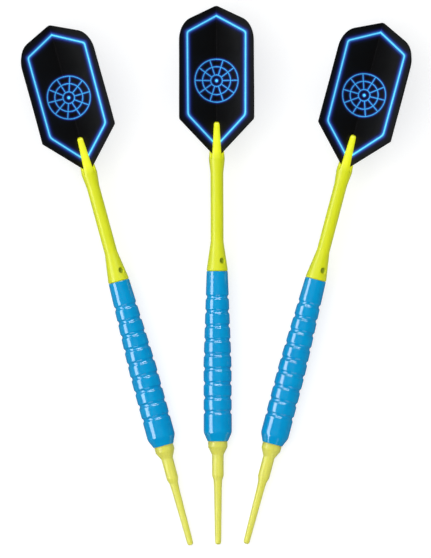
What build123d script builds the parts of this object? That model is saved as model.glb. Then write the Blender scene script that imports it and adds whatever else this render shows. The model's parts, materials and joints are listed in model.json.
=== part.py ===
from build123d import *
import os
from dataclasses import dataclass
from math import asin, atan2, cos, degrees, hypot, radians, sin, sqrt, tan

# A set of three soft-tip darts, lying side by side in a fan on a flat surface.
#
# Every dart is built once, along its own axis: Y is the station along the dart, from the point of
# the tip (0) to the back of the flight, X is across the dart and Z is up. The finished pieces are
# then laid on the surface at z = 0 and fanned out. Lengths are in millimetres, angles in degrees.

# ---- Screw joints (2BA) ----------------------------------------------------------------------
THREAD_DIAMETER = 4.70  # across the crests of a 2BA screw
THREAD_CLEARANCE = 0.05  # radial, between a plain stud and its plain bore
SEAT_GAP = 0.02  # between a shouldered piece and the face that it screws up to
BORE_DEPTH = 9.5
BORE_POINT_ANGLE = 118.0  # of the drilled cone at the bottom of each bore
BORE_LEAD_IN = 0.3  # chamfer at the mouth of each bore

# ---- Soft tip --------------------------------------------------------------------------------
TIP_LENGTH = 30.4  # what stands out of the barrel
TIP_STUD_LENGTH = 7.0
POINT_DIAMETER = 1.70
POINT_ROUNDING = 0.72
SHANK_LENGTH = 16.5
SHANK_DIAMETER = 2.22  # at the end of the shank
ROOT_LENGTH = 2.4  # from the shank to where the tip steps up to its neck
ROOT_DIAMETER = 2.46
STEP_LENGTH = 1.4
NECK_LENGTH = 6.1
NECK_DIAMETER = 3.36
CONE_LENGTH = 2.3
COLLAR_DIAMETER = 5.65

# ---- Barrel ----------------------------------------------------------------------------------
BARREL_LENGTH = 50.0
BARREL_REAR_DIAMETER = 6.20
BARREL_BELLY_DIAMETER = 8.25
BARREL_FRONT_DIAMETER = 6.00
BARREL_TAPER_LENGTH = 27.0  # from the rear face to where the belly starts
NOSE_LENGTH = 2.55  # of the cone in front of the belly
NOSE_ROUNDING = 2.6  # between the belly and the cone
GROOVE_COUNT = 9
FIRST_GROOVE = 7.62  # from the rear face to the middle of the first groove
LAST_GROOVE = 8.58  # from the front face to the middle of the last groove
GROOVE_DEPTH = 0.37
GROOVE_ROOT_RADIUS = 0.75
GROOVE_LIP_RADIUS = 0.55
RIM_ROUNDING = 0.15

# ---- Shaft -----------------------------------------------------------------------------------
SHAFT_LENGTH = 43.9  # what stands out of the barrel
SHAFT_STUD_LENGTH = 7.5
FOOT_DIAMETER = 6.30
FOOT_LENGTH = 8.7
STEM_DIAMETER = 3.74
PRONG_LENGTH = 10.9  # depth of the slots
SWELL_LENGTH = 4.1  # from the plain stem to the widest place, at the floor of the slots
SWELL_DIAMETER = 4.70
PRONG_WAIST_DIAMETER = 4.22
PRONG_WAIST = 2.5  # from the floor of the slots to the waist of the prongs
PRONG_END_DIAMETER = 2.75
PRONG_ROUNDING = 0.95
KEY_HOLE_DIAMETER = 1.75
KEY_HOLE_STATION = 3.1  # from the foot's face
KEY_HOLE_TURN = 36.0  # from straight up towards the dart's right side

# ---- Flight ----------------------------------------------------------------------------------
FILM_THICKNESS = 0.10  # one leaf; a wing is two leaves
SLOT_CLEARANCE = 0.05  # on each side of a wing
FLIGHT_GAP = 0.45  # from the floor of the slots to the flight
WING_WIDTH = 15.5
SPINE_LENGTH = 44.55
SWEEP_LENGTH = 11.5  # along the spine, to where the front edge meets the side
ROOF_LENGTH = 5.36  # along the spine, from where the side would meet the back edge to the end
WING_CORNER_RADIUS = 7.0
WING_TOE_RADIUS = 0.4
NIB_WIDTH = 0.4  # of the blunt ends of the spine, on each wing

# ---- Lie of the three darts ------------------------------------------------------------------


@dataclass
class Lie:
    """Where a dart lies: its point and how far its back end turns to the left."""

    name: str
    point_x: float
    point_y: float
    turn: float


LIES = [
    Lie("left", point_x=-8.05, point_y=0.0, turn=15.3),
    Lie("middle", point_x=0.0, point_y=0.2, turn=0.2),
    Lie("right", point_x=8.2, point_y=0.4, turn=-14.8),
]

# ---- Derived stations and radii --------------------------------------------------------------
barrel_front = TIP_LENGTH
barrel_rear = barrel_front + BARREL_LENGTH
prong_end = barrel_rear + SHAFT_LENGTH
slot_floor = prong_end - PRONG_LENGTH
flight_front = slot_floor + FLIGHT_GAP
flight_back = flight_front + SPINE_LENGTH
belly_station = barrel_rear - BARREL_TAPER_LENGTH
nose_corner = barrel_front + NOSE_LENGTH
bore_radius = THREAD_DIAMETER / 2
stud_radius = bore_radius - THREAD_CLEARANCE
belly_radius = BARREL_BELLY_DIAMETER / 2
front_radius = BARREL_FRONT_DIAMETER / 2
rear_radius = BARREL_REAR_DIAMETER / 2
slot_width = 2 * (FILM_THICKNESS + SLOT_CLEARANCE)

# Where the rounding in front of the belly starts.
nose_turn = atan2(belly_radius - front_radius, NOSE_LENGTH)
nose_station = nose_corner + NOSE_ROUNDING * tan(nose_turn / 2)


def barrel_radius(station: float) -> float:
    """Radius of the barrel's lands, between the rear face and the nose."""
    share = (barrel_rear - station) / BARREL_TAPER_LENGTH
    return rear_radius + (belly_radius - rear_radius) * min(share, 1.0)


# ---- Soft tip --------------------------------------------------------------------------------
root_station = SHANK_LENGTH + ROOT_LENGTH
neck_station = root_station + STEP_LENGTH
cone_station = neck_station + NECK_LENGTH
collar_station = cone_station + CONE_LENGTH
tip_face = barrel_front - SEAT_GAP

with BuildPart() as soft_tip:
    with BuildSketch(Plane.XY):
        with BuildLine():
            tip_side = FilletPolyline(
                (0, 0),
                (POINT_DIAMETER / 2, 0),
                (SHANK_DIAMETER / 2, SHANK_LENGTH),
                (ROOT_DIAMETER / 2, root_station),
                (NECK_DIAMETER / 2, neck_station),
                (NECK_DIAMETER / 2, cone_station),
                (COLLAR_DIAMETER / 2, collar_station),
                (COLLAR_DIAMETER / 2, tip_face),
                (stud_radius, tip_face),
                (stud_radius, tip_face + TIP_STUD_LENGTH),
                (0, tip_face + TIP_STUD_LENGTH),
                radius=[POINT_ROUNDING, 8.0, 0.6, 0.6, 0.4, 0.4, 0.15, 0.0, 0.3],
            )
            Line(tip_side @ 1, tip_side @ 0)
        make_face()
    revolve(axis=Axis.Y)
soft_tip.part.label = "soft_tip"

# ---- Barrel ----------------------------------------------------------------------------------
groove_pitch = (BARREL_LENGTH - FIRST_GROOVE - LAST_GROOVE) / (GROOVE_COUNT - 1)
groove_stations = [barrel_rear - FIRST_GROOVE - i * groove_pitch for i in range(GROOVE_COUNT)]
bore_point = bore_radius / tan(radians(BORE_POINT_ANGLE / 2))

# A groove is a root arc between two lip arcs. Its reach is from its middle to the plain land.
root_height = GROOVE_ROOT_RADIUS - GROOVE_DEPTH
groove_arcs = GROOVE_ROOT_RADIUS + GROOVE_LIP_RADIUS
groove_reach = sqrt(groove_arcs**2 - (root_height + GROOVE_LIP_RADIUS) ** 2)
root_share = GROOVE_ROOT_RADIUS / groove_arcs


def land_point(station: float) -> Vector:
    """Point of the barrel's outline on a land, in the plane of the half section."""
    return Vector(barrel_radius(station), station)


def groove(station: float) -> tuple[Vector, Vector]:
    """Draws one groove's three arcs and returns where they leave the lands on both sides."""
    start, end = land_point(station + groove_reach), land_point(station - groove_reach)
    along = (end - start).normalized()
    outward = Vector(-along.Y, along.X)
    root = (start + end) * 0.5 + outward * (root_height * (1 - root_share))
    root -= outward * (GROOVE_LIP_RADIUS * root_share)
    half = along * (groove_reach * root_share)
    lip = TangentArc(start, root - half, tangent=along)
    arc = TangentArc(root - half, root + half, tangent=lip % 1)
    TangentArc(root + half, end, tangent=arc % 1)
    return start, end


with BuildPart() as barrel:
    with BuildSketch(Plane.XY) as barrel_half:
        with BuildLine():
            corner = Vector(rear_radius, barrel_rear)
            Line((0, barrel_rear), corner)
            for station in groove_stations:
                groove_start, groove_end = groove(station)
                Line(corner, groove_start)
                corner = groove_end
            Polyline(
                corner,
                (belly_radius, nose_corner),
                (front_radius, barrel_front),
                (0, barrel_front),
                (0, barrel_rear),
            )
        make_face()
        for edge, rounding in (
            ((rear_radius, barrel_rear), RIM_ROUNDING),
            ((belly_radius, nose_corner), NOSE_ROUNDING),
            ((front_radius, barrel_front), RIM_ROUNDING),
        ):
            fillet(barrel_half.vertices().sort_by_distance(edge)[0], rounding)
    revolve(axis=Axis.Y)
    for face, inward in ((barrel_front, 1), (barrel_rear, -1)):
        with BuildSketch(Plane.XY):
            with BuildLine():
                Polyline(
                    (0, face),
                    (bore_radius + BORE_LEAD_IN, face),
                    (bore_radius, face + inward * BORE_LEAD_IN),
                    (bore_radius, face + inward * BORE_DEPTH),
                    (0, face + inward * (BORE_DEPTH + bore_point)),
                    close=True,
                )
            make_face()
        revolve(axis=Axis.Y, mode=Mode.SUBTRACT)
barrel.part.label = "barrel"

# ---- Shaft -----------------------------------------------------------------------------------
shaft_face = barrel_rear + SEAT_GAP
key_hole_station = barrel_rear + KEY_HOLE_STATION
key_hole_direction = (sin(radians(KEY_HOLE_TURN)), 0, cos(radians(KEY_HOLE_TURN)))

with BuildPart() as shaft:
    with BuildSketch(Plane.XY):
        with BuildLine():
            shaft_side = FilletPolyline(
                (0, shaft_face - SHAFT_STUD_LENGTH),
                (stud_radius, shaft_face - SHAFT_STUD_LENGTH),
                (stud_radius, shaft_face),
                (FOOT_DIAMETER / 2, shaft_face),
                (STEM_DIAMETER / 2, barrel_rear + FOOT_LENGTH),
                (STEM_DIAMETER / 2, slot_floor - SWELL_LENGTH),
                (SWELL_DIAMETER / 2, slot_floor),
                (PRONG_WAIST_DIAMETER / 2, slot_floor + PRONG_WAIST),
                (PRONG_END_DIAMETER / 2, prong_end),
                (0, prong_end),
                radius=[0.3, 0.0, 0.4, 6.0, 6.0, 2.5, 6.0, PRONG_ROUNDING],
            )
            Line(shaft_side @ 1, shaft_side @ 0)
        make_face()
    revolve(axis=Axis.Y)
    # Two crossed slots, at 45 degrees to the surface, leave four prongs.
    with BuildSketch(Plane.XZ.offset(-slot_floor)):
        with Locations(Rotation(0, 0, 45)):
            Rectangle(2 * SWELL_DIAMETER, slot_width)
            Rectangle(slot_width, 2 * SWELL_DIAMETER)
    extrude(amount=-2 * PRONG_LENGTH, mode=Mode.SUBTRACT)
    # The hole that a key goes through to turn the shaft.
    with BuildSketch(Plane((0, key_hole_station, 0), x_dir=(0, 1, 0), z_dir=key_hole_direction)):
        Circle(KEY_HOLE_DIAMETER / 2)
    extrude(amount=FOOT_DIAMETER, both=True, mode=Mode.SUBTRACT)
shaft.part.label = "shaft"

# ---- Flight leaf -----------------------------------------------------------------------------
# A leaf is one strip of film folded along the spine into a V, the upper one of the four. Its right
# half is drawn in its own plane, which leans at 45 degrees, and mirrored.
wing_plane = Plane((0, 0, 0), x_dir=(1, 0, 1), z_dir=(-1, 0, 1))
wing_outward = Axis((0, 0, 0), (1, 0, 1))

with BuildPart() as flight_leaf:
    with BuildSketch(wing_plane) as wing:
        with BuildLine():
            Polyline(
                (0, flight_front),
                (NIB_WIDTH, flight_front),
                (WING_WIDTH, flight_front + SWEEP_LENGTH),
                (WING_WIDTH, flight_back - ROOF_LENGTH),
                (NIB_WIDTH, flight_back),
                (0, flight_back),
                close=True,
            )
        make_face()
        fillet(wing.vertices().sort_by(wing_outward)[-2:].sort_by(Axis.Y)[-1], WING_CORNER_RADIUS)
        fillet(wing.vertices().sort_by(wing_outward)[-2:].sort_by(Axis.Y)[0], WING_TOE_RADIUS)
    extrude(amount=FILM_THICKNESS)
    mirror(about=Plane.YZ)
flight_leaf.part.label = "flight_leaf"

# ---- Lie of one dart -------------------------------------------------------------------------
# A dart rests on the toes of its two lower wings and on the rounding in front of the barrel's
# belly, so its back end is tilted up.
toe_turn = atan2(WING_WIDTH - NIB_WIDTH, SWEEP_LENGTH)
toe_station = flight_front + SWEEP_LENGTH + WING_TOE_RADIUS * tan(toe_turn / 2)
toe_drop = (WING_WIDTH + FILM_THICKNESS) / sqrt(2)
toe_reach = toe_station - nose_station
toe_below_centre = toe_drop - (belly_radius - NOSE_ROUNDING)
tilt = atan2(toe_below_centre, toe_reach)
tilt -= asin(NOSE_ROUNDING / hypot(toe_reach, toe_below_centre))
point_height = toe_drop * cos(tilt) - toe_station * sin(tilt)


def laid(lie: Lie) -> Location:
    """Takes a piece from the dart's own frame to where that dart lies on the surface."""
    place = Location((lie.point_x, lie.point_y, point_height))
    return place * Rotation(0, 0, lie.turn) * Rotation(degrees(tilt), 0, 0)


# ---- The set: every piece of every dart is a node of its own -----------------------------------
dart_pieces = {
    "soft_tip": (soft_tip, 0),
    "barrel": (barrel, 0),
    "shaft": (shaft, 0),
    "flight_leaf_up": (flight_leaf, 0),
    "flight_leaf_right": (flight_leaf, 90),
    "flight_leaf_down": (flight_leaf, 180),
    "flight_leaf_left": (flight_leaf, 270),
}

pieces = {
    f"{lie.name}_{name}": piece.part.moved(laid(lie) * Rotation(0, facing, 0))
    for lie in LIES
    for name, (piece, facing) in dart_pieces.items()
}

# The origin is the middle of the set's base, on the surface that it lies on.
extent = Compound(list(pieces.values())).bounding_box()
to_origin = Location((-extent.center().X, -extent.center().Y, -extent.min.Z))

os.makedirs("parts", exist_ok=True)
for label, piece in pieces.items():
    node = piece.moved(to_origin)
    node.label = label
    export_step(node, f"parts/{label}.step")

# ---- Places that other things are fastened by ----------------------------------------------------
for lie in LIES:
    place = to_origin * laid(lie)
    for name, local in (("point", (0, 0, 0)), ("key hole", (0, key_hole_station, 0))):
        spot = (place * Location(local)).position
        print(f"{lie.name} {name}: {spot.X:.4f} {spot.Y:.4f} {spot.Z:.4f}")
    axis = (place * Location((0, 1, 0))).position - place.position
    hole = (place * Location(key_hole_direction)).position - place.position
    print(f"{lie.name} dart axis: {axis.X:.6f} {axis.Y:.6f} {axis.Z:.6f}")
    print(f"{lie.name} key hole axis: {hole.X:.6f} {hole.Y:.6f} {hole.Z:.6f}")
print(f"size: {extent.size.X:.3f} x {extent.size.Y:.3f} x {extent.size.Z:.3f}")
print(f"tilt: {degrees(tilt):.3f}, point height: {point_height:.3f}, base at {extent.min.Z:.4f}")
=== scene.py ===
"""Three soft-tip darts lying side by side in a fan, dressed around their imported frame.

Every shape is worked out in the frame of one dart, in millimetres: X across the dart, Y the
station along it from the point of its tip, and Z up. It is then laid, in metres, where the
record says that each dart lies.
"""

import json
import logging
import math
from collections.abc import Sequence
from dataclasses import dataclass
from enum import Enum
from typing import Any

import bmesh
import bpy
import numpy as np
from mathutils import Matrix, Vector


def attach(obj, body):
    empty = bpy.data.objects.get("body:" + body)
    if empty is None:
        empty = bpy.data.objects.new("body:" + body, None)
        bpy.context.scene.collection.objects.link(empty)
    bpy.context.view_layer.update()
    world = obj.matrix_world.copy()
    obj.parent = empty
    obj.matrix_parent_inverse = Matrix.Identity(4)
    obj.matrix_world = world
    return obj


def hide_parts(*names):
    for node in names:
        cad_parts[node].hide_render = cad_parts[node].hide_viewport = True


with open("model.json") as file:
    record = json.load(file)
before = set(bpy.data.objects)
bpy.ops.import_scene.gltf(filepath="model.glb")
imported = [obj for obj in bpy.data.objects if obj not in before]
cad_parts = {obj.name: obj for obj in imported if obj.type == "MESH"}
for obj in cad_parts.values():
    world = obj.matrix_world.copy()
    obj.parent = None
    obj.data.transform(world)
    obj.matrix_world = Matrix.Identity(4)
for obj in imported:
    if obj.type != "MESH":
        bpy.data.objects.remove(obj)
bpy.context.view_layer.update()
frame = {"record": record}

LOG = logging.getLogger("darts")
METRES = 0.001  # one millimetre
OWN = "own_mm"  # the attribute that holds a piece's places in its dart's frame
WELD = 0.0004  # points nearer than this are one point
SHARP = 38.0  # degrees from which an edge of a moulded or turned piece is drawn sharp
TURN = 2 * math.pi

BARREL_FRONT = 30.4  # stations of the barrel's two faces
BARREL_REAR = 80.4
SLOT_FLOOR = 113.4  # station of the floor of the shaft's slots
STUD_RADIUS = 2.30
BORE_RADIUS = 2.35
SEAT_GAP = 0.02


class Facing(Enum):
    """The side that a leaf of film opens towards, with its turn from straight up in degrees."""

    UP = 0
    RIGHT = 90
    DOWN = 180
    LEFT = 270


# ---- Shapes ----------------------------------------------------------------------------------


def rounded(corners: Sequence[tuple[float, float]], radii: Sequence[float]) -> np.ndarray:
    """An outline through corners, each rounded by its own radius.

    A corner that turns by the angle t with the radius r becomes the arc that leaves each of its
    sides r * tan(t / 2) away from it.

    Args:
        corners: The outline's corners, as (radius, station).
        radii: One radius for each corner but the first and the last.

    Returns:
        The outline's points, one row each.
    """
    points = np.array(corners, float)
    before, corner, after = points[:-2], points[1:-1], points[2:]
    towards = (corner - before) / np.linalg.norm(corner - before, axis=1, keepdims=True)
    away = (after - corner) / np.linalg.norm(after - corner, axis=1, keepdims=True)
    cross = towards[:, 0] * away[:, 1] - towards[:, 1] * away[:, 0]
    turn = np.arctan2(cross, (towards * away).sum(1))
    radius = np.maximum(np.array(radii, float), 1e-6)
    start = corner - towards * (radius * np.tan(np.abs(turn) / 2))[:, None]
    share = np.linspace(0, 1, 13)[None, :, None]
    angle = turn[:, None, None] * share
    side = np.stack([-towards[:, 1], towards[:, 0]], 1) * np.sign(turn)[:, None]
    along, across = np.sin(np.abs(angle)), 1 - np.cos(angle)
    arcs = start[:, None] + radius[:, None, None] * (
        towards[:, None] * along + side[:, None] * across
    )
    return np.vstack([points[:1], arcs.reshape(-1, 2), points[-1:]])


def divided(line: np.ndarray, step: float) -> np.ndarray:
    """The same line with points added, so that no span of it is longer than step."""
    spans = np.linalg.norm(np.diff(line, axis=0), axis=1)
    parts = np.maximum(1, np.ceil(spans / step)).astype(int)
    which = np.repeat(np.arange(len(parts)), parts)
    first = np.repeat(np.cumsum(parts) - parts, parts)
    share = (np.arange(parts.sum()) - first) / parts[which]
    added = line[which] + share[:, None] * (line[which + 1] - line[which])
    return np.vstack([added, line[-1:]])


def lathe(radius: np.ndarray, station: np.ndarray, angle: np.ndarray) -> np.ndarray:
    """Points of a surface turned about the dart's axis.

    At the angle a from straight up towards the right, a point with the radius r at the station s
    lies at (r * sin a, s, r * cos a).

    Args:
        radius: One radius a row, as a column, or one for each row and angle.
        station: One station a row.
        angle: One angle a column, in radians.

    Returns:
        The points, as rows, columns and coordinates.
    """
    shape = (len(station), len(angle))
    radius = np.broadcast_to(radius, shape)
    return np.stack(
        [radius * np.sin(angle), np.broadcast_to(station[:, None], shape), radius * np.cos(angle)],
        axis=-1,
    )


def eased(value: np.ndarray) -> np.ndarray:
    """A smooth step from 0 to 1 as value goes from 0 to 1: 3 v v - 2 v v v."""
    value = np.clip(value, 0, 1)
    return value * value * (3 - 2 * value)


class Shell:
    """A closed surface put together from grids of points that meet along their edges."""

    def __init__(self) -> None:
        """Starts with no grids."""
        self.points: list[np.ndarray] = []
        self.faces: list[np.ndarray] = []
        self.count = 0

    def add(self, grid: np.ndarray) -> None:
        """Adds a grid of points (rows, columns, coordinates) with a face in each of its cells."""
        rows, columns = grid.shape[:2]
        index = self.count + np.arange(rows * columns).reshape(rows, columns)
        quads = [index[:-1, :-1], index[1:, :-1], index[1:, 1:], index[:-1, 1:]]
        self.points.append(grid.reshape(-1, 3))
        self.faces.append(np.stack(quads, axis=-1).reshape(-1, 4))
        self.count += rows * columns

    def mesh(self, name: str, sharp: float) -> bpy.types.Mesh:
        """The welded mesh, with its faces outwards.

        Args:
            name: The mesh's name.
            sharp: The angle in degrees from which an edge is drawn sharp.

        Returns:
            A smooth-shaded mesh in the dart's frame, in millimetres.
        """
        mesh = bpy.data.meshes.new(name)
        mesh.from_pydata(np.vstack(self.points), [], np.vstack(self.faces).tolist())
        work = bmesh.new()
        work.from_mesh(mesh)
        bmesh.ops.remove_doubles(work, verts=work.verts, dist=WELD)
        bmesh.ops.recalc_face_normals(work, faces=work.faces)
        work.to_mesh(mesh)
        work.free()
        finish_edges(mesh, sharp)
        return mesh


def finish_edges(mesh: bpy.types.Mesh, sharp: float) -> None:
    """Shades a mesh smooth, apart from edges of at least the angle sharp, in degrees."""
    mesh.shade_smooth()
    mesh.set_sharp_from_angle(angle=math.radians(sharp))


def cut(mesh: bpy.types.Mesh, cutter: bpy.types.Mesh, sharp: float) -> bpy.types.Mesh:
    """What is left of a closed mesh once a closed cutter is taken from it.

    Args:
        mesh: The mesh to cut.
        cutter: The shape to take away.
        sharp: The angle in degrees from which an edge is drawn sharp.

    Returns:
        A new mesh with the old one's name.
    """
    name = mesh.name
    body = bpy.data.objects.new("cut_body", mesh)
    tool = bpy.data.objects.new("cut_tool", cutter)
    for item in (body, tool):
        bpy.context.scene.collection.objects.link(item)
    boolean = body.modifiers.new("cut", "BOOLEAN")
    boolean.operation, boolean.solver, boolean.object = "DIFFERENCE", "EXACT", tool
    seen = body.evaluated_get(bpy.context.evaluated_depsgraph_get())
    result = bpy.data.meshes.new_from_object(seen)
    for item in (body, tool):
        bpy.data.objects.remove(item)
    bpy.data.meshes.remove(mesh)
    bpy.data.meshes.remove(cutter)
    result.name = name
    finish_edges(result, sharp)
    return result


@dataclass(frozen=True)
class Thread:
    """A right-handed 2BA screw thread."""

    pitch: float = 0.81
    height: float = 0.42
    blunt: float = 0.12  # share of the ridge's slope that is cut off at its crest and its root

    def ridge(self, station: np.ndarray, angle: np.ndarray) -> np.ndarray:
        """The helical ridge, from 0 at its root to 1 at its crest.

        It is the triangle wave of station / pitch - angle / turn, cut off near its ends.
        """
        phase = (station[:, None] / self.pitch - angle[None, :] / TURN) % 1
        wave = np.abs(2 * phase - 1)
        return np.clip((wave - self.blunt) / (1 - 2 * self.blunt), 0, 1)

    def fade(self, station: np.ndarray, start: float, end: float) -> np.ndarray:
        """1 along the thread, falling to 0 within one pitch of its start and its end."""
        inside = np.minimum(station - start, end - station) / self.pitch
        return eased(inside)[:, None]


# ---- Where the darts lie ---------------------------------------------------------------------


@dataclass(frozen=True)
class Dart:
    """One dart of the set, with the frame that its pieces are laid in."""

    name: str
    origin: np.ndarray  # the point of its tip, in metres
    axes: np.ndarray  # its X, Y and Z directions, one a row

    @classmethod
    def from_record(cls, name: str, record: dict[str, Any]) -> "Dart":
        """Reads a dart's place from the mount at the point of its tip."""
        mount = next(m for m in record["mounts"] if m["name"] == f"{name}_point")
        along = -np.array(mount["axis"], float)
        along /= np.linalg.norm(along)
        across = np.cross(along, (0, 0, 1))
        across /= np.linalg.norm(across)
        origin = np.array(mount["pos_m"], float)
        return cls(name, origin, np.stack([across, along, np.cross(across, along)]))

    def lay(self, template: bpy.types.Mesh, label: str) -> bpy.types.Object:
        """A copy of a template, laid where this dart lies, with its own places kept on it."""
        mesh = template.copy()
        own = np.empty(len(mesh.vertices) * 3, np.float32)
        mesh.vertices.foreach_get("co", own)
        placed = self.origin + own.reshape(-1, 3) * METRES @ self.axes
        mesh.vertices.foreach_set("co", placed.astype(np.float32).ravel())
        mesh.attributes.new(OWN, "FLOAT_VECTOR", "POINT").data.foreach_set("vector", own)
        mesh.update()
        piece = bpy.data.objects.new(f"{self.name}_{label}", mesh)
        mesh.name = piece.name
        bpy.context.scene.collection.objects.link(piece)
        return piece


# ---- Finishes --------------------------------------------------------------------------------

Colour = tuple[float, float, float, float]


def ink(red: int, green: int, blue: int) -> Colour:
    """The linear colour of a display colour given as three numbers from 0 to 255."""
    share = np.array([red, green, blue]) / 255
    light = np.where(share <= 0.04045, share / 12.92, ((share + 0.055) / 1.055) ** 2.4)
    return (*(float(value) for value in light), 1.0)


class Paint:
    """A material's node tree, with short calls that add and link its nodes."""

    def __init__(self, name: str, **sockets: Any) -> None:
        """Makes a material with one Principled shader, whose sockets hold the given values."""
        self.material = bpy.data.materials.new(name)
        self.material.use_nodes = True
        self.tree = self.material.node_tree
        self.tree.nodes.clear()
        self.shader = self.tree.nodes.new("ShaderNodeBsdfPrincipled")
        output = self.tree.nodes.new("ShaderNodeOutputMaterial")
        self.tree.links.new(self.shader.outputs["BSDF"], output.inputs["Surface"])
        for socket, value in sockets.items():
            self.shader.inputs[socket.replace("_", " ")].default_value = value

    def put(self, node: bpy.types.Node, socket: int | str, value: Any) -> None:
        """Links a socket to value, or sets it to value where that is a constant."""
        if isinstance(value, bpy.types.NodeSocket):
            self.tree.links.new(value, node.inputs[socket])
        else:
            node.inputs[socket].default_value = value

    def drive(self, socket: str, value: Any) -> None:
        """Links or sets one of the shader's own sockets."""
        self.put(self.shader, socket, value)

    def own(self) -> bpy.types.NodeSocket:
        """The piece's places in its dart's frame, in millimetres."""
        node = self.tree.nodes.new("ShaderNodeAttribute")
        node.attribute_name = OWN
        return node.outputs["Vector"]

    def parts(self, vector: bpy.types.NodeSocket) -> list[bpy.types.NodeSocket]:
        """The X, Y and Z of a vector."""
        node = self.tree.nodes.new("ShaderNodeSeparateXYZ")
        self.put(node, 0, vector)
        return list(node.outputs)

    def math(self, operation: str, *values: Any) -> bpy.types.NodeSocket:
        """One Math node."""
        node = self.tree.nodes.new("ShaderNodeMath")
        node.operation = operation
        for socket, value in enumerate(values):
            self.put(node, socket, value)
        return node.outputs[0]

    def scaled(self, vector: Any, by: tuple[float, float, float]) -> bpy.types.NodeSocket:
        """A vector with each of its parts multiplied."""
        node = self.tree.nodes.new("ShaderNodeVectorMath")
        node.operation = "MULTIPLY"
        self.put(node, 0, vector)
        self.put(node, 1, by)
        return node.outputs[0]

    def noise(self, vector: Any, scale: float, detail: float = 2.0) -> bpy.types.NodeSocket:
        """A noise pattern from 0 to 1, with so many features to each unit of vector."""
        node = self.tree.nodes.new("ShaderNodeTexNoise")
        self.put(node, "Vector", vector)
        self.put(node, "Scale", scale)
        self.put(node, "Detail", detail)
        return node.outputs[0]

    def spread(self, value: Any, low: float, high: float) -> bpy.types.NodeSocket:
        """A value's middle half, from 0.25 to 0.75, spread from low to high and clamped."""
        node = self.tree.nodes.new("ShaderNodeMapRange")
        for socket, number in zip(range(5), (value, 0.25, 0.75, low, high), strict=True):
            self.put(node, socket, number)
        return node.outputs[0]

    def ramp(self, value: Any, stops: Sequence[tuple[float, Colour]]) -> bpy.types.NodeSocket:
        """The colour that a value from 0 to 1 has on a ramp of stops."""
        node = self.tree.nodes.new("ShaderNodeValToRGB")
        ramp = node.color_ramp
        while len(ramp.elements) < len(stops):
            ramp.elements.new(1.0)
        for element, (place, colour) in zip(ramp.elements, stops, strict=True):
            element.position, element.color = place, colour
        self.put(node, 0, value)
        return node.outputs[0]

    def mix(self, share: Any, first: Any, second: Any) -> bpy.types.NodeSocket:
        """A colour between first and second, by share."""
        node = self.tree.nodes.new("ShaderNodeMix")
        node.data_type = "RGBA"
        for socket, value in (("Factor", share), ("A", first), ("B", second)):
            kind = "VALUE" if socket == "Factor" else "RGBA"
            index = next(
                i for i, s in enumerate(node.inputs) if s.name == socket and s.type == kind
            )
            self.put(node, index, value)
        return next(s for s in node.outputs if s.type == "RGBA")

    def bump(self, height: Any, depth: float, after: Any = None) -> bpy.types.NodeSocket:
        """A normal roughened by height, whose full range is so many metres deep."""
        node = self.tree.nodes.new("ShaderNodeBump")
        self.put(node, "Height", height)
        self.put(node, "Distance", depth)
        self.put(node, "Strength", 1.0)
        if after is not None:
            self.put(node, "Normal", after)
        return node.outputs[0]


@dataclass(frozen=True)
class Lacquer:
    """Glossy blue coating over turned brass: the lathe's fine lines show through it a little."""

    blue: Colour = ink(0, 166, 226)
    deep: Colour = ink(0, 154, 218)

    def material(self) -> bpy.types.Material:
        """The coating's material."""
        paint = Paint("blue_lacquer", Specular_IOR_Level=1.0)
        own = paint.own()
        lines = paint.noise(paint.scaled(own, (0.25, 9.0, 0.25)), 1.0, 3.0)
        peel = paint.noise(own, 2.2, 1.0)
        cloud = paint.noise(own, 0.35, 2.0)
        paint.drive("Base Color", paint.mix(paint.spread(cloud, 0, 1), self.blue, self.deep))
        paint.drive("Roughness", paint.spread(lines, 0.08, 0.13))
        fine = paint.bump(lines, 0.0000003)
        paint.drive("Normal", paint.bump(peel, 0.000001, fine))
        return paint.material


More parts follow.
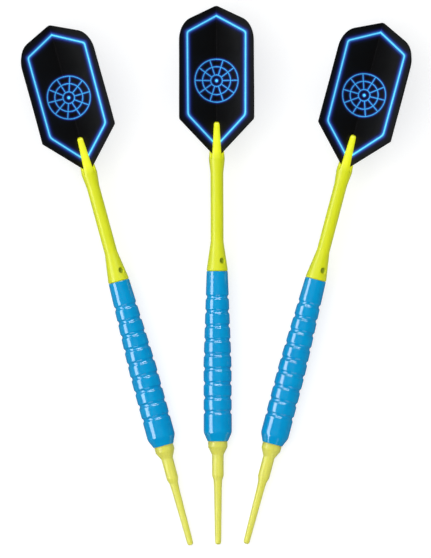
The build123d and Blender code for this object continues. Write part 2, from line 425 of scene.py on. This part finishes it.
@dataclass(frozen=True)
class ShaftNylon:
    """Fluorescent yellow moulded nylon, with a fine grain from its mould, a painted glow and
    painted shade.
    """

    yellow: Colour = ink(226, 232, 34)
    lime: Colour = ink(214, 226, 20)
    # colour of the painted glow
    glow: Colour = ink(226, 220, 0)
    prongs: float = 112.0  # station where the shaft thins out into its prongs
    prong_rise: float = 5.0
    hole: float = 83.5  # station of the key hole, whose inside is drawn darker as painted shade
    hole_shade_reach: float = 1.3  # how far from that station the painted shade reaches
    foot_radius: float = 2.72  # of the foot there, and how fast it narrows
    foot_slope: float = 0.147
    # colour of the painted shade inside the key hole
    shaded: Colour = ink(166, 186, 66)
    least: float = 0.05  # painted glow that brightens the nylon: on its thick parts and on its thin prongs
    most: float = 0.3

    def material(self) -> bpy.types.Material:
        """The nylon's material."""
        paint = Paint(
            "shaft_nylon",
            Specular_IOR_Level=0.5,
            Subsurface_Weight=0.25,
            Subsurface_Radius=(0.0012, 0.0012, 0.0003),
            Subsurface_Scale=1.0,
            Emission_Color=self.glow,
        )
        own = paint.own()
        x, station, z = paint.parts(own)
        square = paint.math("MULTIPLY_ADD", x, x, paint.math("MULTIPLY", z, z))
        along = paint.math("SUBTRACT", station, self.hole)
        outside = paint.math("MULTIPLY_ADD", along, -self.foot_slope, self.foot_radius)
        depth = paint.math("SUBTRACT", outside, paint.math("SQRT", square))
        near = paint.math("SUBTRACT", self.hole_shade_reach, paint.math("ABSOLUTE", along))
        # painted shade: inside the key hole the nylon is drawn in the shaded colour
        inside = paint.spread(paint.math("MINIMUM", depth, near), 0, 1)
        # painted glow: stronger on the thin prongs, to brighten them as light would
        thin = paint.math("DIVIDE", paint.math("SUBTRACT", station, self.prongs), self.prong_rise)
        paint.drive("Emission Strength", paint.spread(thin, self.least, self.most))
        flow = paint.noise(paint.scaled(own, (0.8, 0.12, 0.8)), 1.0, 2.0)
        grain = paint.noise(own, 6.0, 3.0)
        open_skin = paint.mix(paint.spread(flow, 0, 1), self.yellow, self.lime)
        paint.drive("Base Color", paint.mix(inside, open_skin, self.shaded))
        paint.drive("Roughness", paint.spread(grain, 0.3, 0.42))
        paint.drive("Normal", paint.bump(grain, 0.000005))
        return paint.material


@dataclass(frozen=True)
class TipNylon:
    """Pale yellow nylon that lets some light through, drawn out in faint lengthwise bands."""

    pale: Colour = ink(246, 246, 118)
    dense: Colour = ink(236, 234, 96)

    def material(self) -> bpy.types.Material:
        """The nylon's material."""
        paint = Paint(
            "tip_nylon",
            Specular_IOR_Level=0.5,
            Subsurface_Weight=0.5,
            Subsurface_Radius=(0.002, 0.002, 0.0006),
            Subsurface_Scale=1.0,
            Transmission_Weight=0.15,
            IOR=1.5,
        )
        own = paint.own()
        bands = paint.noise(paint.scaled(own, (1.6, 0.05, 1.6)), 1.0, 2.0)
        grain = paint.noise(own, 5.0, 2.0)
        paint.drive("Base Color", paint.mix(paint.spread(bands, 0, 1), self.pale, self.dense))
        paint.drive("Roughness", paint.spread(grain, 0.26, 0.36))
        paint.drive("Normal", paint.bump(grain, 0.000004))
        return paint.material


@dataclass(frozen=True)
class PrintedFilm:
    """Black film printed with a blue outline, whose printed halo also has a painted glow, and a
    plain dartboard of rings and wires.

    The print is drawn as seen from in front of the fold, so its X is the distance across from
    the spine and its Y the station.
    """

    black: Colour = ink(17, 17, 18)
    outline: tuple[tuple[float, float], ...] = (
        (0.0, 155.5),
        (8.56, 150.6),
        (8.4, 126.3),
        (0.0, 117.3),
    )
    corner: float = 0.9  # how far the outline's corners are rounded off
    halo: float = 1.7  # how far the printed halo, and the painted glow in it, reaches from the outline's middle
    board: float = 136.4  # station of the dartboard's middle
    rings: tuple[float, ...] = (6.3, 4.1, 1.7)
    wires: int = 10
    fineness: float = 1.9  # how much finer the dartboard is drawn than the outline
    paler: float = 0.12  # how far the dartboard's lines stay from the outline's brightest blue
    share: float = 0.5  # of the print's colour that it gives off by itself, as a painted glow

    def outline_distance(self, paint: Paint, across: Any, station: Any) -> bpy.types.NodeSocket:
        """Distance from the outline: the largest of the distances outside its sides, unsigned."""
        found = None
        for (x0, y0), (x1, y1) in zip(self.outline, self.outline[1:], strict=False):
            length = math.hypot(x1 - x0, y1 - y0)
            nx, ny = (y0 - y1) / length, (x1 - x0) / length
            part = paint.math("MULTIPLY", across, nx)
            part = paint.math("MULTIPLY_ADD", station, ny, part)
            part = paint.math("SUBTRACT", part, nx * x0 + ny * y0)
            found = part if found is None else paint.math("SMOOTH_MAX", found, part, self.corner)
        return paint.math("ABSOLUTE", found)

    def board_distance(self, paint: Paint, across: Any, station: Any) -> bpy.types.NodeSocket:
        """Distance from the dartboard's rings, its wires between two of them, and its middle."""
        rise = paint.math("SUBTRACT", station, self.board)
        square = paint.math("MULTIPLY", rise, rise)
        radius = paint.math("SQRT", paint.math("MULTIPLY_ADD", across, across, square))
        found = paint.math("SUBTRACT", radius, 0.35)
        for ring in self.rings:
            off = paint.math("ABSOLUTE", paint.math("SUBTRACT", radius, ring))
            found = paint.math("MINIMUM", found, off)
        step = TURN / self.wires
        angle = paint.math("ARCTAN2", across, rise)
        wrapped = paint.math("WRAP", angle, step, 0.0)
        lean = paint.math("ABSOLUTE", paint.math("SUBTRACT", wrapped, step / 2))
        wire = paint.math("MULTIPLY", radius, lean)
        beyond = paint.math("SUBTRACT", radius, self.rings[0])
        short = paint.math("SUBTRACT", self.rings[2], radius)
        wire = paint.math("MAXIMUM", wire, paint.math("MAXIMUM", beyond, short))
        return paint.math("MAXIMUM", paint.math("MINIMUM", found, wire), 0.0)

    def material(self) -> bpy.types.Material:
        """The film's material."""
        paint = Paint("printed_film", Specular_IOR_Level=0.15, Emission_Strength=self.share)
        own = paint.own()
        x, station, _ = paint.parts(own)
        across = paint.math("ABSOLUTE", x)
        line = self.outline_distance(paint, across, station)
        board = self.board_distance(paint, across, station)
        board = paint.math("MULTIPLY_ADD", board, self.fineness, self.paler)
        reach = paint.math("DIVIDE", paint.math("MINIMUM", line, board), self.halo)
        stops = (
            (0.0, ink(128, 224, 255)),
            (0.07, ink(84, 200, 248)),
            (0.15, ink(40, 128, 194)),
            (0.29, ink(42, 68, 140)),
            (0.46, ink(27, 32, 90)),
            (0.64, ink(13, 16, 42)),
            (1.0, self.black),
        )
        # painted glow: the print's colours, given off by the film though it is no lamp
        glow = [(place, colour) for place, colour in stops[:-1]] + [(1.0, (0.0, 0.0, 0.0, 1.0))]
        paint.drive("Base Color", paint.ramp(reach, stops))
        paint.drive("Emission Color", paint.ramp(reach, glow))
        grain = paint.noise(paint.scaled(own, (9.0, 9.0, 9.0)), 1.0, 2.0)
        cloud = paint.noise(own, 0.3, 2.0)
        rough = paint.math("ADD", paint.spread(grain, 0.3, 0.36), paint.spread(cloud, 0.0, 0.08))
        paint.drive("Roughness", rough)
        paint.drive("Normal", paint.bump(grain, 0.0000015))
        return paint.material


# ---- The pieces of a dart --------------------------------------------------------------------


def dress(
    piece: bpy.types.Object, finish: bpy.types.Material, body: str, node: str
) -> None:
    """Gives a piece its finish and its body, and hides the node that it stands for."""
    piece.data.materials.clear()
    piece.data.materials.append(finish)
    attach(piece, body)
    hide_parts(node)
    LOG.info("%s rides on %s: %d points", piece.name, body, len(piece.data.vertices))


@dataclass
class SoftTip:
    """The moulded tip that sticks in the board, with its threaded stud."""

    finish: bpy.types.Material
    stud: float = 7.0
    point: float = 1.70  # diameters from here on, unless they are lengths along the tip
    point_rounding: float = 0.72
    shank: float = 2.22
    shank_end: float = 16.5
    root: float = 2.46
    root_end: float = 18.9
    neck: float = 3.36
    neck_start: float = 20.3
    neck_end: float = 26.4
    collar: float = 5.65
    collar_start: float = 28.7
    seam: float = 0.022  # height of the mould's parting lines
    seam_width: float = 0.07
    columns: int = 96

    def template(self) -> bpy.types.Mesh:
        """The tip, turned from its outline, with a thread and two parting lines.

        A parting line adds height * exp(-(distance round the tip / width) squared) to the
        radius, at the left and at the right.
        """
        face = BARREL_FRONT - SEAT_GAP
        end = face + self.stud
        corners = [
            (0, 0),
            (self.point / 2, 0),
            (self.shank / 2, self.shank_end),
            (self.root / 2, self.root_end),
            (self.neck / 2, self.neck_start),
            (self.neck / 2, self.neck_end),
            (self.collar / 2, self.collar_start),
            (self.collar / 2, face),
            (STUD_RADIUS, face),
        ]
        line = divided(rounded(corners, [self.point_rounding, 8.0, 0.6, 0.6, 0.4, 0.4, 0.15]), 0.3)
        screw = divided(rounded([(STUD_RADIUS, face), (STUD_RADIUS, end), (0, end)], [0.3]), 0.09)
        angle = np.linspace(0, TURN, self.columns + 1)
        radius, station = line[:, :1], line[:, 1]
        round_off = radius * np.abs(np.cos(angle))[None, :]
        seam = self.seam * np.exp(-((round_off / self.seam_width) ** 2))
        seam = seam * eased((station - 0.6) / 1.5)[:, None]
        seam = seam * eased((face - 0.3 - station) / 0.3)[:, None]
        shell = Shell()
        shell.add(lathe(radius + seam, station, angle))
        thread = Thread()
        depth = thread.height * (1 - thread.ridge(screw[:, 1], angle))
        depth = depth * thread.fade(screw[:, 1], face + 0.3, end - 0.3)
        shell.add(lathe(screw[:, :1] - depth, screw[:, 1], angle))
        return shell.mesh("tip_template", SHARP)

    def build(self, darts: Sequence[Dart]) -> None:
        """Makes and dresses the tip of every dart."""
        template = self.template()
        for dart in darts:
            piece = dart.lay(template, "moulded_tip")
            dress(piece, self.finish, f"{dart.name}_tip", f"{dart.name}_soft_tip")


@dataclass
class Barrel:
    """The turned and coated grip, with nine grooves and a threaded bore at each end."""

    finish: bpy.types.Material
    rear: float = 6.20
    belly: float = 8.25
    front: float = 6.00
    taper: float = 27.0
    nose: float = 2.55
    nose_rounding: float = 2.6
    grooves: int = 9
    first_groove: float = 7.62
    last_groove: float = 8.58
    groove_depth: float = 0.37
    groove_root: float = 0.75
    groove_lip: float = 0.55
    rim: float = 0.15
    bore: float = 9.5
    bore_point: float = 118.0
    lead_in: float = 0.3
    bore_thread: float = 0.34
    columns: int = 120

    def land(self, station: np.ndarray | float) -> np.ndarray:
        """Radius between the grooves: it grows evenly from the rear face to the belly."""
        share = np.clip((BARREL_REAR - station) / self.taper, 0, 1)
        return (self.rear + (self.belly - self.rear) * share) / 2

    def grooves_at(self) -> np.ndarray:
        """Stations of the grooves' middles, evenly spread."""
        first, last = BARREL_REAR - self.first_groove, BARREL_FRONT + self.last_groove
        return np.linspace(first, last, self.grooves)

    def reach(self) -> float:
        """From a groove's middle to where its lip meets the land."""
        arcs = self.groove_root + self.groove_lip
        return math.sqrt(arcs**2 - (arcs - self.groove_depth) ** 2)

    def groove(self, off: np.ndarray) -> np.ndarray:
        """Depth of a groove at a distance off from its middle.

        Near the middle it is the root's arc, depth - (R - sqrt(R R - d d)). Further out it is
        the lip's arc, L - sqrt(L L - (reach - d) squared), and the two meet without a corner.
        """
        reach = self.reach()
        root, lip = self.groove_root, self.groove_lip
        inner = self.groove_depth - root + np.sqrt(np.maximum(root**2 - off**2, 0))
        left = np.clip(reach - off, 0, lip)
        outer = lip - np.sqrt(lip**2 - left**2)
        return np.where(off < reach * root / (root + lip), inner, outer)

    def outline(self) -> np.ndarray:
        """The outside from the rear face's inner edge to the front face's, as radius, station."""
        mouth = BORE_RADIUS + self.lead_in
        below = BARREL_REAR - 2.0
        rear = rounded(
            [(mouth, BARREL_REAR), (self.rear / 2, BARREL_REAR), (self.land(below), below)],
            [self.rim],
        )
        corner = BARREL_FRONT + self.nose
        nose = rounded(
            [
                (self.belly / 2, corner + 3.0),
                (self.belly / 2, corner),
                (self.front / 2, BARREL_FRONT),
                (mouth, BARREL_FRONT),
            ],
            [self.nose_rounding, self.rim],
        )
        off = self.reach() * np.linspace(-1, 1, 29)
        cuts = np.sort((self.grooves_at()[:, None] + off[None, :]).ravel())[::-1]
        cut_in = self.groove(np.abs(np.tile(off, self.grooves)))
        flank = np.stack([self.land(cuts) - cut_in, cuts], 1)
        return divided(np.vstack([rear, flank, nose]), 0.45)

    def bore_line(self, face: float, inward: float) -> np.ndarray:
        """One bore from its bottom to its mouth, as radius, station."""
        tip = BORE_RADIUS / math.tan(math.radians(self.bore_point / 2))
        wall = [
            (0, face + inward * (self.bore + tip)),
            (BORE_RADIUS, face + inward * self.bore),
            (BORE_RADIUS, face + inward * self.lead_in),
            (BORE_RADIUS + self.lead_in, face),
        ]
        return divided(np.array(wall, float), 0.1)

    def template(self) -> bpy.types.Mesh:
        """The barrel, turned from its outline, with a thread cut outwards into each bore."""
        angle = np.linspace(0, TURN, self.columns + 1)
        shell = Shell()
        outside = self.outline()
        shell.add(lathe(outside[:, :1], outside[:, 1], angle))
        thread = Thread()
        for face, inward in ((BARREL_REAR, -1.0), (BARREL_FRONT, 1.0)):
            line = self.bore_line(face, inward)
            ends = sorted((face + inward * 0.35, face + inward * (self.bore - 0.6)))
            depth = self.bore_thread * thread.ridge(line[:, 1], angle)
            depth = depth * thread.fade(line[:, 1], *ends)
            shell.add(lathe(line[:, :1] + depth, line[:, 1], angle))
        return shell.mesh("barrel_template", SHARP)

    def build(self, darts: Sequence[Dart]) -> None:
        """Makes and dresses the barrel of every dart."""
        template = self.template()
        for dart in darts:
            piece = dart.lay(template, "turned_barrel")
            node = f"{dart.name}_barrel"
            dress(piece, self.finish, node, node)


@dataclass
class Shaft:
    """The moulded shaft: a threaded stud, a foot with a key hole, a stem and four prongs."""

    finish: bpy.types.Material
    stud: float = 7.5
    length: float = 43.9
    foot: float = 6.30
    foot_length: float = 8.7
    stem: float = 3.74
    swell: float = 4.70
    swell_length: float = 4.1
    waist: float = 4.22
    waist_length: float = 2.5
    prong_end: float = 2.75
    prong_rounding: float = 0.95
    half_slot: float = 0.15
    key_hole: float = 1.75
    key_hole_station: float = 83.5
    key_hole_turn: float = 36.0
    seam: float = 0.02
    seam_width: float = 0.08
    arc_columns: int = 25
    side_columns: int = 12

    def outline(self) -> np.ndarray:
        """The outside from the shoulder to the end of the prongs, as radius, station."""
        face, end = BARREL_REAR + SEAT_GAP, BARREL_REAR + self.length
        corners = [
            (STUD_RADIUS, face),
            (self.foot / 2, face),
            (self.stem / 2, BARREL_REAR + self.foot_length),
            (self.stem / 2, SLOT_FLOOR - self.swell_length),
            (self.swell / 2, SLOT_FLOOR),
            (self.waist / 2, SLOT_FLOOR + self.waist_length),
            (self.prong_end / 2, end),
            (0, end),
        ]
        return rounded(corners, [0.4, 6.0, 6.0, 2.5, 6.0, self.prong_rounding])[:-1]

    def quadrant(self, radius: np.ndarray, station: np.ndarray) -> np.ndarray:
        """Sections through the upper prong.

        A section is the arc between the two slots, whose sides lie half a slot from the planes
        at 45 degrees, then one straight side down to the corner near the axis and the other
        back up. Further than a little above the floor of the slots its corners are rounded, by
        a weighted mean of each point and its neighbours.

        Args:
            radius: The outside radius of each section.
            station: The station of each section.

        Returns:
            The points, as sections, points round the section and coordinates.
        """
        half = math.pi / 4 - np.arcsin(self.half_slot / radius)
        angle = half[:, None] * np.linspace(-1, 1, self.arc_columns)[None, :]
        arc = np.stack([radius[:, None] * np.sin(angle), radius[:, None] * np.cos(angle)], -1)
        inner = np.zeros((len(radius), 1, 2)) + (0.0, self.half_slot * math.sqrt(2))
        share = np.linspace(0, 1, self.side_columns + 2)[1:-1][None, :, None]
        down = arc[:, -1:] + (inner - arc[:, -1:]) * share
        back = inner + (arc[:, :1] - inner) * share
        loop = np.concatenate([arc, down, inner, back], axis=1)
        weights = {-2: 1, -1: 2, 0: 3, 1: 2, 2: 1}
        soft = sum(weight * np.roll(loop, step, axis=1) for step, weight in weights.items()) / 9
        loop = loop + (soft - loop) * eased((station - SLOT_FLOOR) / 0.6)[:, None, None]
        along = np.broadcast_to(station[:, None, None], (*loop.shape[:2], 1))
        return np.concatenate([loop[..., :1], along, loop[..., 1:]], axis=-1)

    @staticmethod
    def turned(points: np.ndarray, quarter: int) -> np.ndarray:
        """Points turned about the dart's axis by so many quarters, from up towards the right."""
        x, y, z = np.moveaxis(points, -1, 0)
        for _ in range(quarter):
            x, z = z, -x
        return np.stack([x, y, z], -1)

    def hole(self) -> bpy.types.Mesh:
        """The shape of the key hole: a rod across the foot, flared where it comes out."""
        half = self.key_hole / 2
        out = np.array([0.0, 2.35, 2.5, 2.62, 2.74, 2.95, 4.0])
        wide = half + np.array([0.0, 0.0, 0.03, 0.09, 0.18, 0.3, 0.3])
        along = np.concatenate([-out[::-1], out[1:]])
        radius = np.concatenate([wide[::-1], wide[1:]])
        along = np.concatenate([along[:1], along, along[-1:]])
        radius = np.concatenate([[0.0], radius, [0.0]])
        rod = lathe(radius[:, None], along, np.linspace(0, TURN, 49))
        lean = math.radians(self.key_hole_turn)
        sideways = (math.cos(lean), 0, -math.sin(lean))
        out_of = (math.sin(lean), 0, math.cos(lean))
        axes = np.array([sideways, out_of, (0, 1, 0)])
        shell = Shell()
        shell.add(rod @ axes + (0, self.key_hole_station, 0))
        return shell.mesh("key_hole", 30)

    def template(self) -> bpy.types.Mesh:
        """The shaft: turned as far as the slots, and four prongs with the floor between them."""
        line = self.outline()
        rising = line[line[:, 1] > BARREL_REAR + 0.5]
        floor = np.array([[np.interp(SLOT_FLOOR, rising[:, 1], rising[:, 0]), SLOT_FLOOR]])
        body = divided(np.vstack([line[line[:, 1] < SLOT_FLOOR - 0.01], floor]), 0.35)
        prong = divided(np.vstack([floor, line[line[:, 1] > SLOT_FLOOR + 0.01]]), 0.22)
        face = BARREL_REAR + SEAT_GAP
        start = face - self.stud
        stud = rounded([(0, start), (STUD_RADIUS, start), (STUD_RADIUS, face)], [0.3])
        screw = divided(stud, 0.09)

        half = math.pi / 4 - math.asin(self.half_slot / floor[0, 0])
        arcs = half * np.linspace(-1, 1, self.arc_columns)
        angle = (np.arange(4)[:, None] * math.pi / 2 + arcs[None, :]).ravel()
        angle = np.append(angle, angle[0] + TURN)
        shell = Shell()
        thread = Thread()
        depth = thread.height * (1 - thread.ridge(screw[:, 1], angle))
        depth = depth * thread.fade(screw[:, 1], start + 0.3, face - 0.3)
        shell.add(lathe(screw[:, :1] - depth, screw[:, 1], angle))
        around = body[:, :1] * np.abs(np.cos(angle))[None, :]
        seam = self.seam * np.exp(-((around / self.seam_width) ** 2))
        seam = seam * eased((body[:, 1:] - face - 0.5) * 2)
        seam = seam * eased((SLOT_FLOOR - 0.2 - body[:, 1:]) * 2)
        shell.add(lathe(body[:, :1] + seam, body[:, 1], angle))

        loops = self.quadrant(prong[:, 0], prong[:, 1])
        closed = np.concatenate([loops, loops[:, :1]], axis=1)
        cap = np.broadcast_to(loops[-1].mean(0), closed[-1:].shape)
        closed = np.concatenate([closed, cap])
        base, last = loops[0], self.arc_columns - 1
        right = base[last : last + self.side_columns + 2]
        corner = base[last + self.side_columns + 1][None]
        left = np.concatenate([base[:1], base[: -self.side_columns - 1 : -1], corner])
        for quarter in range(4):
            shell.add(self.turned(closed, quarter))
            shell.add(np.stack([self.turned(right, quarter), self.turned(left, quarter + 1)]))
        inner = np.stack([self.turned(right[-1], quarter) for quarter in (0, 1, 3, 2)])
        shell.add(inner.reshape(2, 2, 3))
        return cut(shell.mesh("shaft_template", SHARP), self.hole(), SHARP)

    def build(self, darts: Sequence[Dart]) -> None:
        """Makes and dresses the shaft of every dart."""
        template = self.template()
        for dart in darts:
            piece = dart.lay(template, "moulded_shaft")
            node = f"{dart.name}_shaft"
            dress(piece, self.finish, node, node)


@dataclass
class Flight:
    """Four leaves of printed film, each folded along the spine and bonded to its neighbours."""

    finish: bpy.types.Material
    film: float = 0.10
    bond: float = 0.002  # from a leaf's bonded face to the middle of its wing
    fold: float = 0.14  # radius inside the fold
    wing: float = 15.5
    nib: float = 0.4
    front: float = 113.85
    spine: float = 44.55
    sweep: float = 11.5
    roof: float = 5.36
    corner: float = 7.0
    toe: float = 0.4
    wave: float = 0.09  # how far the film bows out of its plane
    columns: int = 46
    rows: int = 44

    def edges(self, out: np.ndarray) -> tuple[np.ndarray, np.ndarray]:
        """Stations of a wing's front and back edges at distances out from the spine.

        Both edges are found from the wing's outline with its rounded toe and corner.
        """
        back = self.front + self.spine
        outline = rounded(
            [
                (self.nib, self.front),
                (self.wing, self.front + self.sweep),
                (self.wing, back - self.roof),
                (self.nib, back),
            ],
            [self.toe, self.corner],
        )
        middle = self.front + self.spine / 2
        ahead, behind = outline[outline[:, 1] < middle], outline[outline[:, 1] > middle][::-1]
        return np.interp(out, ahead[:, 0], ahead[:, 1]), np.interp(out, behind[:, 0], behind[:, 1])

    def bow(self, wing: int, out: np.ndarray, station: np.ndarray) -> np.ndarray:
        """How far a wing's film stands out of its plane, towards the next wing round.

        It is wave * (share of the width) squared * a slow sine along the station, and nothing
        as far back as the toe.
        """
        share = out / self.wing
        behind = eased((station - self.front - self.sweep) / 12)
        swing = np.sin(TURN * (station - self.front) / (46 + 9 * wing) + 1.7 * wing)
        return self.wave * share**2 * behind * swing

    def side(self, leaf: int, lift: float, rounding: float) -> np.ndarray:
        """One face of a leaf that opens upwards, from its left edge to its right edge.

        Within the fold a point lies on the circle of the given radius about the fold's middle.
        Beyond it, a point that is w from the spine lies at (w - n, w + n) / root 2 across and
        up, where n is how far it is lifted off the wing's middle plane.

        Args:
            leaf: The leaf's quarter, from up towards the right.
            lift: How far the face is from the middle plane of the wing.
            rounding: The radius of the face in the fold.

        Returns:
            The points, as rows along the dart, columns across it and coordinates.
        """
        folded = self.fold + self.film
        bend = np.linspace(0, 1, 5)[:-1] * folded
        flat = folded + (self.wing - folded) * np.sin(np.linspace(0, math.pi / 2, self.columns))
        out = np.concatenate([bend, flat])
        ahead, behind = self.edges(np.maximum(out, self.nib))
        share = np.linspace(0, 1, self.rows)[:, None]
        station = ahead[None, :] + (behind - ahead)[None, :] * share
        across = np.broadcast_to(out, station.shape)
        halves = []
        for sign, wing in ((-1, (leaf - 1) % 4), (1, leaf)):
            normal = lift - sign * self.bow(wing, across, station)
            angle = math.pi / 4 * across / folded
            centre = folded * math.sqrt(2)
            in_fold, slant = across < folded, math.sqrt(2)
            x = np.where(in_fold, rounding * np.sin(angle), (across - normal) / slant)
            z = np.where(in_fold, centre - rounding * np.cos(angle), (across + normal) / slant)
            halves.append(np.stack([sign * x, station, z], -1))
        left, right = halves
        return np.concatenate([left[:, :0:-1], right], axis=1)

    def template(self, facing: Facing) -> bpy.types.Mesh:
        """A leaf as a thin closed shell that opens upwards, with its two faces and its edges."""
        leaf = facing.value // 90
        seen = self.side(leaf, self.film, self.fold)
        bonded = self.side(leaf, self.bond, self.fold + self.film - self.bond)
        shell = Shell()
        shell.add(seen)
        shell.add(bonded)
        for rim in (np.s_[0, :], np.s_[-1, :], np.s_[:, 0], np.s_[:, -1]):
            shell.add(np.stack([seen[rim], bonded[rim]]))
        return shell.mesh(f"leaf_{facing.name.lower()}_template", 40)

    def build(self, darts: Sequence[Dart]) -> None:
        """Makes and dresses the four leaves of every dart."""
        for facing in Facing:
            template = self.template(facing)
            turn = math.radians(facing.value)
            side = (math.cos(turn), 0, -math.sin(turn))
            up = (math.sin(turn), 0, math.cos(turn))
            spin = np.array([side, (0, 1, 0), up])
            for dart in darts:
                label = facing.name.lower()
                turned = Dart(dart.name, dart.origin, spin @ dart.axes)
                piece = turned.lay(template, f"film_{label}")
                node = f"{dart.name}_flight_leaf_{label}"
                dress(piece, self.finish, f"{dart.name}_flight", node)


# ---- The studio ------------------------------------------------------------------------------


@dataclass(frozen=True)
class Panel:
    """A soft light panel that faces the darts."""

    name: str
    towards: tuple[float, float, float]  # direction from the darts
    away: float
    size: tuple[float, float]  # across and along, in metres
    radiance: float
    mirrored: bool = True  # whether glossy surfaces show it
    spread: bool = True  # whether it lights matt surfaces

    def light(self) -> None:
        """Adds the panel as an area light, which the camera doesn't see."""
        data = bpy.data.lights.new(self.name, "AREA")
        data.shape = "RECTANGLE"
        data.size, data.size_y = self.size
        data.energy = self.radiance * math.pi * self.size[0] * self.size[1]
        lamp = bpy.data.objects.new(self.name, data)
        bpy.context.scene.collection.objects.link(lamp)
        out = Vector(self.towards).normalized()
        lamp.location = out * self.away
        lamp.rotation_mode = "QUATERNION"
        lamp.rotation_quaternion = out.to_track_quat("Z", "Y")
        lamp.visible_camera = False
        lamp.visible_glossy = self.mirrored
        lamp.visible_diffuse = self.spread


@dataclass
class Studio:
    """A pale lit table, dim surroundings, five light panels and the camera."""

    lens: float = 600.0
    sensor: float = 36.0
    view_height: float = 0.16412  # metres that the picture's long side spans at the darts
    left_of_point: float = -0.00078  # from the middle dart's point to the picture's middle
    above_point: float = 0.07808
    table_radius: float = 18.0
    glow: float = 0.68  # of the table by itself
    paleness: float = 0.42  # of the table's surface
    dimmed: float = 0.05  # its glow and its paleness, as the darts mirror them
    ambient: float = 0.03  # light from all round; the eye sees the table's glow there instead

    def camera(self, middle: Dart) -> None:
        """Adds the camera, square to the middle dart's axis and level with the row's X."""
        across = Vector((1, 0, 0))
        along = Vector((0, *middle.axes[1][1:])).normalized()
        up = across.cross(along)
        target = Vector(middle.origin) + across * self.left_of_point + along * self.above_point
        data = bpy.data.cameras.new("camera")
        data.lens, data.sensor_width = self.lens, self.sensor
        camera = bpy.data.objects.new("camera", data)
        bpy.context.scene.collection.objects.link(camera)
        camera.location = target + up * (self.view_height * self.lens / self.sensor)
        camera.rotation_mode = "QUATERNION"
        camera.rotation_quaternion = Matrix((across, along, up)).transposed().to_quaternion()
        data.clip_start, data.clip_end = 0.05, 60.0
        bpy.context.scene.camera = camera

    def table(self) -> None:
        """Adds the table: a round pale plate that glows, and looks dim in reflections."""
        ring = np.linspace(0, TURN, 65)[:-1]
        points = np.stack([np.cos(ring), np.sin(ring), np.zeros(64)], 1) * self.table_radius
        points[:, 2] = -0.0001
        mesh = bpy.data.meshes.new("table")
        mesh.from_pydata(points, [], [list(range(64))])
        table = bpy.data.objects.new("table", mesh)
        bpy.context.scene.collection.objects.link(table)
        white = (1.0, 1.0, 1.0, 1.0)
        paint = Paint("table_white", Roughness=0.9, Specular_IOR_Level=0.1, Emission_Color=white)
        path = paint.tree.nodes.new("ShaderNodeLightPath")
        mirrored = path.outputs["Is Glossy Ray"]
        pale, dim = (*(self.paleness,) * 3, 1.0), (*(self.dimmed,) * 3, 1.0)
        paint.drive("Base Color", paint.mix(mirrored, pale, dim))
        glow = paint.math("MULTIPLY_ADD", mirrored, self.dimmed - self.glow, self.glow)
        paint.drive("Emission Strength", glow)
        mesh.materials.append(paint.material)

    def light(self) -> None:
        """Adds the panels and the surroundings."""
        lean = 1.02
        left = (-math.sin(lean), 0.0, math.cos(lean))
        back, front = (0.08, 0.71, 0.7), (0.1, -0.95, 0.3)
        above, right = (-0.2, 0.0, 1.0), (0.9, 0.1, 0.4)
        for panel in (
            Panel("strip_left", left, 0.75, (1.1, 0.38), 4.6, spread=False),
            Panel("soft_back", back, 0.9, (0.85, 0.34), 9.0, spread=False),
            Panel("soft_front", front, 0.9, (0.5, 0.24), 2.0, spread=False),
            Panel("fill_above", above, 1.3, (1.8, 1.8), 2.5, mirrored=False),
            Panel("fill_right", right, 1.0, (1.4, 0.7), 0.25, mirrored=False),
        ):
            panel.light()
        world = bpy.data.worlds.new("surroundings")
        world.use_nodes = True
        background = world.node_tree.nodes["Background"]
        background.inputs["Color"].default_value = (1.0, 1.0, 1.0, 1)
        path = world.node_tree.nodes.new("ShaderNodeLightPath")
        shown = world.node_tree.nodes.new("ShaderNodeMath")
        shown.operation = "MULTIPLY_ADD"
        world.node_tree.links.new(path.outputs["Is Camera Ray"], shown.inputs[0])
        shown.inputs[1].default_value = self.glow - self.ambient
        shown.inputs[2].default_value = self.ambient
        world.node_tree.links.new(shown.outputs[0], background.inputs["Strength"])
        bpy.context.scene.world = world
        bpy.context.scene.view_settings.view_transform = "Standard"

    def build(self, middle: Dart) -> None:
        """Sets up the whole studio."""
        self.camera(middle)
        self.table()
        self.light()


def main() -> None:
    """Builds the darts and the studio."""
    logging.basicConfig(level=logging.INFO, format="%(name)s: %(message)s")
    darts = [Dart.from_record(name, frame["record"]) for name in ("left", "middle", "right")]
    Studio().build(darts[1])
    SoftTip(TipNylon().material()).build(darts)
    Barrel(Lacquer().material()).build(darts)
    Shaft(ShaftNylon().material()).build(darts)
    Flight(PrintedFilm().material()).build(darts)


if __name__ == "__main__":
    main()
